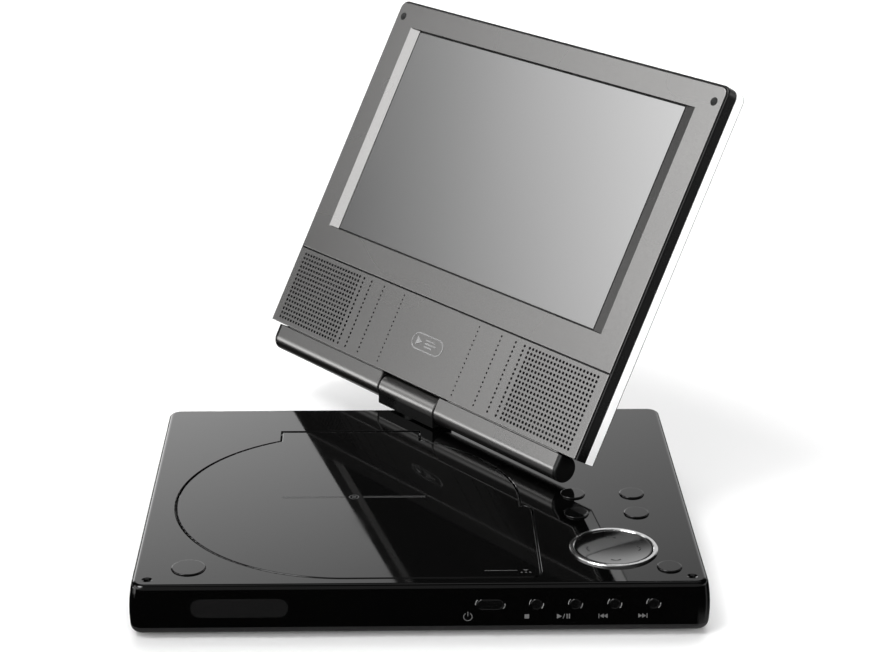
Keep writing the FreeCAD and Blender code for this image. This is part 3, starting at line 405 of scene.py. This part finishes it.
def key_highlight_arcs(node):
    """Two thin bright crescents on the wall, at the upper left and the lower right of the key's hole: a painted
    highlight that stands in for the reflection on the hole's rounded edge.
    """
    centre = middle(node)
    half = LONG_KEY_HALF.get(node, 0.0)
    bm = bmesh.new()
    for side, turn in ((-1, 180), (1, 0)):
        start, end = math.radians(turn + HIGHLIGHT_FROM), math.radians(turn + HIGHLIGHT_TO)
        outer = arc(side * half, 0, KEY_HOLE_R + HIGHLIGHT_WIDE, start, end, 14)
        inner = arc(side * (half + 0.09 * MM), side * -0.06 * MM, KEY_HOLE_R + 0.06 * MM, end, start, 14)
        raised(bm, outer + inner, HIGHLIGHT_HIGH)
    place = Matrix.Translation((centre.x, front_y + 0.06 * MM, centre.z)) @ Matrix.Rotation(math.pi / 2, 4, "X")
    piece(node.replace("button", "painted_highlights"), bm, painted_highlight_mat, "base", place, smooth=False)


for node, *rest in SYMBOLS:
    key_highlight_arcs(node)


# ---- chevrons on the navigation pad ----
def chevron(bm, reach, half, thick, high):
    """Arrow head with its point at reach + thick from the middle of the pad."""
    outline = [(reach - half, -half * 1.7), (reach - half + thick, -half * 1.7 - thick * 0.5), (reach + thick, 0.0),
               (reach - half + thick, half * 1.7 + thick * 0.5), (reach - half, half * 1.7), (reach, 0.0)]
    raised(bm, outline, high)


DISH_R = 90 * MM
CHEVRON_REACH = 9.7 * MM
pad = middle("nav_pad")
dish_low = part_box("nav_ring")[0].z + 2.0 * MM
chevron_high = dish_low + (9.3 * MM) ** 2 / (2 * DISH_R) - 0.02 * MM
chevron_mat = grained("chevron_print", grey(0.02), 0.6, 0.0002, 0.00001, 0.2)
for i in range(4):
    bm = bmesh.new()
    chevron(bm, CHEVRON_REACH, 0.95 * MM, 0.5 * MM, 0.1 * MM)
    place = Matrix.Translation((pad.x, pad.y, chevron_high)) @ Matrix.Rotation(i * math.pi / 2, 4, "Z")
    piece("nav_chevron_%d" % (i + 1), bm, chevron_mat, "nav_pad", place, smooth=False)


# ---- generic marks in place of lettering ----
def stadium(half, r, steps=10):
    """Outline of a pill: two half circles joined by straight sides."""
    return arc(half, 0, r, -math.pi / 2, math.pi / 2, steps) + arc(-half, 0, r, math.pi / 2, 1.5 * math.pi, steps)


def outline_band(bm, outer, inner, height):
    """Raised line between two outlines with the same number of points."""
    count = len(outer)
    rows = [[bm.verts.new((x, y, z)) for x, y in line]
            for line, z in ((outer, 0.0), (outer, height), (inner, height), (inner, 0.0))]
    for k in range(4):
        a, b = rows[k], rows[(k + 1) % 4]
        for i in range(count):
            j = (i + 1) % count
            bm.faces.new((a[i], a[j], b[j], b[i]))


def emblem():
    """Pill outline round a triangle and three bars, in the middle of the speaker panel."""
    high, rim, pitch = 0.12 * MM, 0.5 * MM, 1.35 * MM
    bm = bmesh.new()
    outline_band(bm, stadium(6.2 * MM, 3.6 * MM), stadium(6.2 * MM, 3.6 * MM - rim), high)
    raised(bm, [(x - 5.2 * MM, y) for x, y in triangle(0.0, 1.7 * MM, 1.9 * MM)], high, 0.0, 0.02 * MM)
    for i, end in enumerate((4.3, 5.5, 3.5)):
        raised(bm, rectangle(-1.4 * MM, end * MM, pitch - pitch * i, 0.28 * MM), high)
    panel_low, panel_high = flat_range("speaker_panel", V)
    place = PANEL @ Matrix.Translation((0, (panel_low + panel_high) / 2, FACE_N - 0.02 * MM))
    emblem_mat = machined("emblem_silver", grey(0.42), 0.3, 0.6)
    piece("emblem", bm, emblem_mat, "display", place, smooth=False)


def lid_mark():
    """A faint disc symbol between two thin lines, where such lids carry small print."""
    bm = bmesh.new()
    ring_shape(bm, 1.9 * MM, 1.6 * MM, PRINT_HIGH)
    ring_shape(bm, 0.7 * MM, 0.4 * MM, PRINT_HIGH, steps=24)
    for side in (-1, 1):
        for row in (-0.45, 0.45):
            x0, x1 = sorted((side * 3.6 * MM, side * 27.0 * MM))
            raised(bm, rectangle(x0, x1, row * MM, 0.12 * MM), PRINT_HIGH)
    place = Matrix.Translation((-24.0 * MM, -7.0 * MM, lid_top - 0.01 * MM))
    piece("lid_mark", bm, faint_mat, "disc_lid", place, smooth=False)


def latch_mark():
    """A small arrow and three dots that show where to press the lid shut."""
    bm = bmesh.new()
    raised(bm, [(-1.0 * MM, 1.3 * MM), (0.0, 0.2 * MM), (1.0 * MM, 1.3 * MM)], PRINT_HIGH)
    for x in (-1.5, 0.0, 1.5):
        ring_shape(bm, 0.4 * MM, 0.08 * MM, PRINT_HIGH, steps=16, cx=x * MM, cy=-0.9 * MM)
    raised(bm, rectangle(-14.5 * MM, -3.0 * MM, 0.65 * MM, 0.15 * MM), PRINT_HIGH)
    place = Matrix.Translation((37.2 * MM, -70.8 * MM, lid_top - 0.01 * MM))
    piece("latch_mark", bm, faint_mat, "disc_lid", place, smooth=False)


lid_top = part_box("disc_lid")[1].z
faint_mat = grained("faint_print", grey(0.075), 0.5, 0.0002, 0.00001, 0.2)
emblem()
lid_mark()
latch_mark()


# ---- screws in the back of the display ----
def circle(r, steps):
    return arc(0, 0, r, 0, 2 * math.pi * (steps - 1) / steps, steps - 1)


def screw_head(bm, r, low):
    """Base disc with four raised quarters, whose gaps form the crossed recess."""
    raised(bm, circle(r, 36), 0.3 * MM, low)
    gap = 0.13 * r
    for i in range(4):
        turn = Matrix.Rotation(i * math.pi / 2, 2)
        outline = [(gap, gap)] + arc(0, 0, r * 0.97, math.radians(9), math.radians(81), 8)
        raised(bm, [tuple(turn @ Vector(p)) for p in outline], 0.2 * MM, low + 0.3 * MM, 0.04 * MM)


COVER_SCREWS = ((-93.0, 14.0), (93.0, 14.0), (-93.0, 150.0), (93.0, 150.0))     # u and v in millimetres
back_n = flat_range("rear_cover", N)[0]
for i, (x, y) in enumerate(COVER_SCREWS):
    bm = bmesh.new()
    screw_head(bm, 1.75 * MM, -0.85 * MM)
    place = PANEL @ Matrix.Translation((x * MM, y * MM, back_n)) @ Matrix.Rotation(math.pi, 4, "X")
    piece("cover_screw_%d" % (i + 1), bm, MATERIALS["zinc_screw"], "display", place, smooth=False)


# ---- lead screw with its thread ----
def threaded_rod(bm, length, r_out, depth, pitch, columns=24, per_turn=12):
    """Rod along z whose surface rises and falls along a helix."""
    count = int(length / pitch * per_turn)
    rows = []
    for k in range(count + 1):
        z = length * k / count
        row = []
        for i in range(columns):
            phase = (z / pitch - i / columns) % 1.0
            r = r_out - depth * (0.5 - 0.5 * math.cos(2 * math.pi * phase)) ** 2
            turn = 2 * math.pi * i / columns
            row.append(bm.verts.new((r * math.cos(turn), r * math.sin(turn), z)))
        rows.append(row)
    for a, b in zip(rows, rows[1:]):
        for i in range(columns):
            j = (i + 1) % columns
            bm.faces.new((a[i], a[j], b[j], b[i]))
    bm.faces.new(rows[0][::-1])
    bm.faces.new(rows[-1])


screw_low, screw_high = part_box("lead_screw")
screw_long = screw_high.y - screw_low.y
JOURNAL, JOURNAL_R, THREAD_R, THREAD_DEEP, PITCH = 2.4 * MM, 0.7 * MM, 1.2 * MM, 0.35 * MM, 3.0 * MM
OVERRUN = 0.2 * MM
bm = bmesh.new()
threaded_rod(bm, screw_long - 2 * JOURNAL + OVERRUN, THREAD_R, THREAD_DEEP, PITCH)
bmesh.ops.translate(bm, verts=bm.verts, vec=(0, 0, JOURNAL))
raised(bm, circle(JOURNAL_R, 24), JOURNAL)
raised(bm, circle(JOURNAL_R, 24), JOURNAL - OVERRUN, screw_long - JOURNAL + OVERRUN)
axis = middle("lead_screw")
place = Matrix.Translation((axis.x, screw_low.y, axis.z)) @ Matrix.Rotation(-math.pi / 2, 4, "X")
thread = piece("lead_screw_thread", bm, MATERIALS["steel"], "lead_screw", place)
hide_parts("lead_screw")


# ---- stage ----
def make_floor():
    """Pale matt floor that the glossy parts don't mirror."""
    bm = bmesh.new()
    bmesh.ops.create_grid(bm, x_segments=1, y_segments=1, size=6.0)
    mesh = bpy.data.meshes.new("floor")
    bm.to_mesh(mesh)
    bm.free()
    floor = bpy.data.objects.new("floor", mesh)
    bpy.context.scene.collection.objects.link(floor)
    mat, g, shader = material("floor_white", grey(0.92), 0.9)
    g.link(g.mix(g.noise(0.4, 2.0), grey(0.91), grey(0.93)), shader.inputs["Base Color"])
    shader.inputs["Specular IOR Level"].default_value = 0.0
    mesh.materials.append(mat)
    floor.visible_glossy = False


SOFT_BOX = Vector((-0.6645, -0.2418, 0.7071))       # directions towards the two bright lamps
HOT_SPOT = Vector((-0.45, -0.15, 0.88))


def make_world():
    """Studio of soft surfaces, each a product of steps over the direction x, y, z; numbers are brightness."""
    world = bpy.data.worlds.new("studio")
    bpy.context.scene.world = world
    world.use_nodes = True
    g = Graph(world.node_tree)
    way = g.node("ShaderNodeTexCoord", out="Generated")
    split = g.tree.nodes.new("ShaderNodeSeparateXYZ")
    g.link(way, split.inputs[0])
    x, y, z = (Socket(g, split.outputs[i]) for i in range(3))
    depth = y.math("ABSOLUTE")
    above = g.step(z, -0.03, 0.03)

    # backdrop behind the object, brighter to the left and low down
    rear = g.step(y, 0.68, 0.9) * g.step(x, -0.2, 0.2, 1.75, 0.72) * g.step(z, 0.25, 0.62, 1.5, 0.03)
    rear = rear * g.step(x, -0.36, -0.14).math("MAXIMUM", g.step(z, 0.42, 0.28) * g.step(x, -0.55, -0.4))
    # low side walls, and the corner between the left one and the backdrop
    walls = g.step(z, 0.12, 0.32, 1.1, 0.0) * (1.0 - g.step(y, 0.5, 0.8))
    walls = walls * g.step(x, -0.8, -0.3) * g.step(y, -0.6, -0.2)
    corner = g.step(x, -0.6, -0.75) * g.step(y, 0.42, 0.56) * g.step(z, 0.34, 0.2) * 0.55
    # large soft box to the upper left, cut off towards the back and the ceiling, and a small lamp above it
    toward = x * SOFT_BOX.x + y * SOFT_BOX.y + z * SOFT_BOX.z
    softbox = g.step(toward, 0.74, 0.90) * 2.2 * g.step(y, 0.46, 0.3) * g.step(z, 0.2, 0.5, 0.7, 1.0)
    softbox = softbox * g.step(z, 0.72, 0.54, 0.15, 1.0)
    hot = g.step(x * HOT_SPOT.x + y * HOT_SPOT.y + z * HOT_SPOT.z, 0.968, 0.99) * 10.0
    # bright strip at the height of the floor, far left
    horizon = g.step(x, -0.82, -0.94) * g.step(z, 0.2, 0.06) * g.step(z, -0.24, -0.08)
    horizon = horizon * g.step(depth, 0.4, 0.25) * 2.5
    # dim ceiling, front and floor, and a patch at the lower right
    ceiling = g.step(z, 0.8, 0.97) * g.step(y, 0.0, 0.2) * 0.5
    fill = g.step(y, -0.3, -0.6) * 0.25
    lower = g.step(x, 0.78, 0.92) * g.step(depth, 0.2, 0.08) * 0.3 + 0.008
    under = g.step(z, -0.35, -0.8) * 0.6
    under = under * g.step(x, 0.2, 0.4).math("MAXIMUM", g.step(y, 0.35, 0.55) * g.step(x, -0.5, -0.3))
    under = under.math("MAXIMUM", g.step(z, -0.85, -0.97) * 0.5)

    upper = rear + walls + corner + softbox + ceiling + fill + 0.012
    glow = above * upper + (1.0 - above) * (lower + under) + horizon + hot
    background = world.node_tree.nodes["Background"]
    g.link(glow, background.inputs["Strength"])
    background.inputs["Color"].default_value = (1, 1, 1, 1)


# name, strength, spread in degrees, direction towards the light
LIGHTS = (("overhead", 2.3, 50, (0.1, 0.75, 1.0)),
          ("front", 2.6, 60, (0.6, -0.8, 0.2)))


def make_lights():
    """Broad light from above and behind, and one from the front right that whitens the display's side."""
    for name, strength, spread, toward in LIGHTS:
        light = bpy.data.lights.new(name, "SUN")
        light.energy = strength
        light.angle = math.radians(spread)
        obj = bpy.data.objects.new(name, light)
        bpy.context.scene.collection.objects.link(obj)
        obj.rotation_euler = Vector(toward).to_track_quat("Z", "Y").to_euler()
        obj.visible_glossy = False


CAMERA_ANGLES = (-1.1930, 19.7734, 0.1351)          # azimuth, elevation and roll in degrees
CAMERA_PLACE = Vector((-10.842, -788.205, 374.426)) * MM


def make_camera():
    azimuth, elevation, roll = (math.radians(a) for a in CAMERA_ANGLES)
    back = Vector((math.sin(azimuth) * math.cos(elevation), -math.cos(azimuth) * math.cos(elevation),
                   math.sin(elevation)))
    right = Vector((math.cos(azimuth), math.sin(azimuth), 0))
    up = back.cross(right)
    turned_right = right * math.cos(roll) + up * math.sin(roll)
    turned_up = up * math.cos(roll) - right * math.sin(roll)
    data = bpy.data.cameras.new("camera")
    data.sensor_width = 36.0
    data.lens = 93.77
    data.shift_x = 0.0025
    data.shift_y = -0.0145
    data.clip_start = 0.01
    data.clip_end = 50
    camera = bpy.data.objects.new("camera", data)
    bpy.context.scene.collection.objects.link(camera)
    pose = Matrix((turned_right, turned_up, back)).transposed().to_4x4()
    pose.translation = CAMERA_PLACE
    camera.matrix_world = pose
    bpy.context.scene.camera = camera


make_floor()
make_world()
make_lights()
make_camera()
bpy.context.scene.view_settings.view_transform = "Standard"
